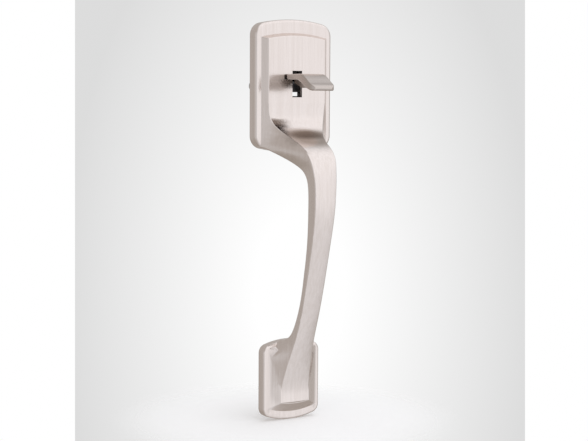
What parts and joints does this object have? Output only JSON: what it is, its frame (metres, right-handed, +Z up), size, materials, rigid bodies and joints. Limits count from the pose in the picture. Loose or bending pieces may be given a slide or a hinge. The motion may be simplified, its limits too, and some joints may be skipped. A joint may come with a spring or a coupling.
{
  "type": "entry door handleset",
  "caption": "Entry door handleset in satin nickel: arched plate with a raised panel and thumbpiece, a bowed grip and an arched foot, with its latch drive behind.",
  "frame": {"origin": "the latch spindle's axis in the plane of the door's face, midway between the two through-bolt posts", "axes": "+Z up along the handle, -Y out of the door towards the hand, +Y into the door, +X to the right seen from outside"},
  "size_m": [0.0634, 0.107, 0.2933],
  "materials": {
    "satin_nickel": "satin",
    "steel": "satin",
    "zinc_plate": "satin",
    "spring_steel": "satin",
    "brass": "satin",
    "rubber": "matte"
  },
  "bodies": {
    "trim": {"handle_body": "satin_nickel", "thumbpiece_pin": "steel", "pin_clips": "steel", "thumbpiece_spring": "spring_steel", "stop_bumper": "rubber", "back_plate": "zinc_plate", "back_plate_screws": "steel", "latch_bracket": "zinc_plate", "bracket_screws": "steel", "bracket_bushing": "brass", "cam_washer": "steel", "cam_return_spring": "spring_steel", "spring_anchor_pin": "steel", "left_mounting_post": "steel", "right_mounting_post": "steel", "lower_mounting_post": "steel"},
    "thumb_lever": {"thumbpiece": "satin_nickel"},
    "latch_drive": {"drive_cam": "steel", "cam_retaining_ring": "steel", "spindle": "steel", "spindle_pin": "steel"}
  },
  "joints": [
    {"name": "thumb_press", "type": "hinge", "parent": "trim", "child": "thumb_lever", "pos_m": [0, -0.0052, 0.0064], "axis": [1, 0, 0], "range_deg": [0, 20], "stiffness_Nm_per_rad": 0.25, "springref_deg": -20.05, "deforming": ["thumbpiece_spring"]},
    {"name": "cam_turn", "type": "hinge", "parent": "trim", "child": "latch_drive", "pos_m": [0, 0, 0], "axis": [0, 1, 0], "range_deg": [0, 36], "stiffness_Nm_per_rad": 0.05, "springref_deg": -11.46, "deforming": ["cam_return_spring"]}
  ],
  "couplings": [
    {"joint": "cam_turn", "follows": "thumb_press", "ratio": 1.8}
  ]
}
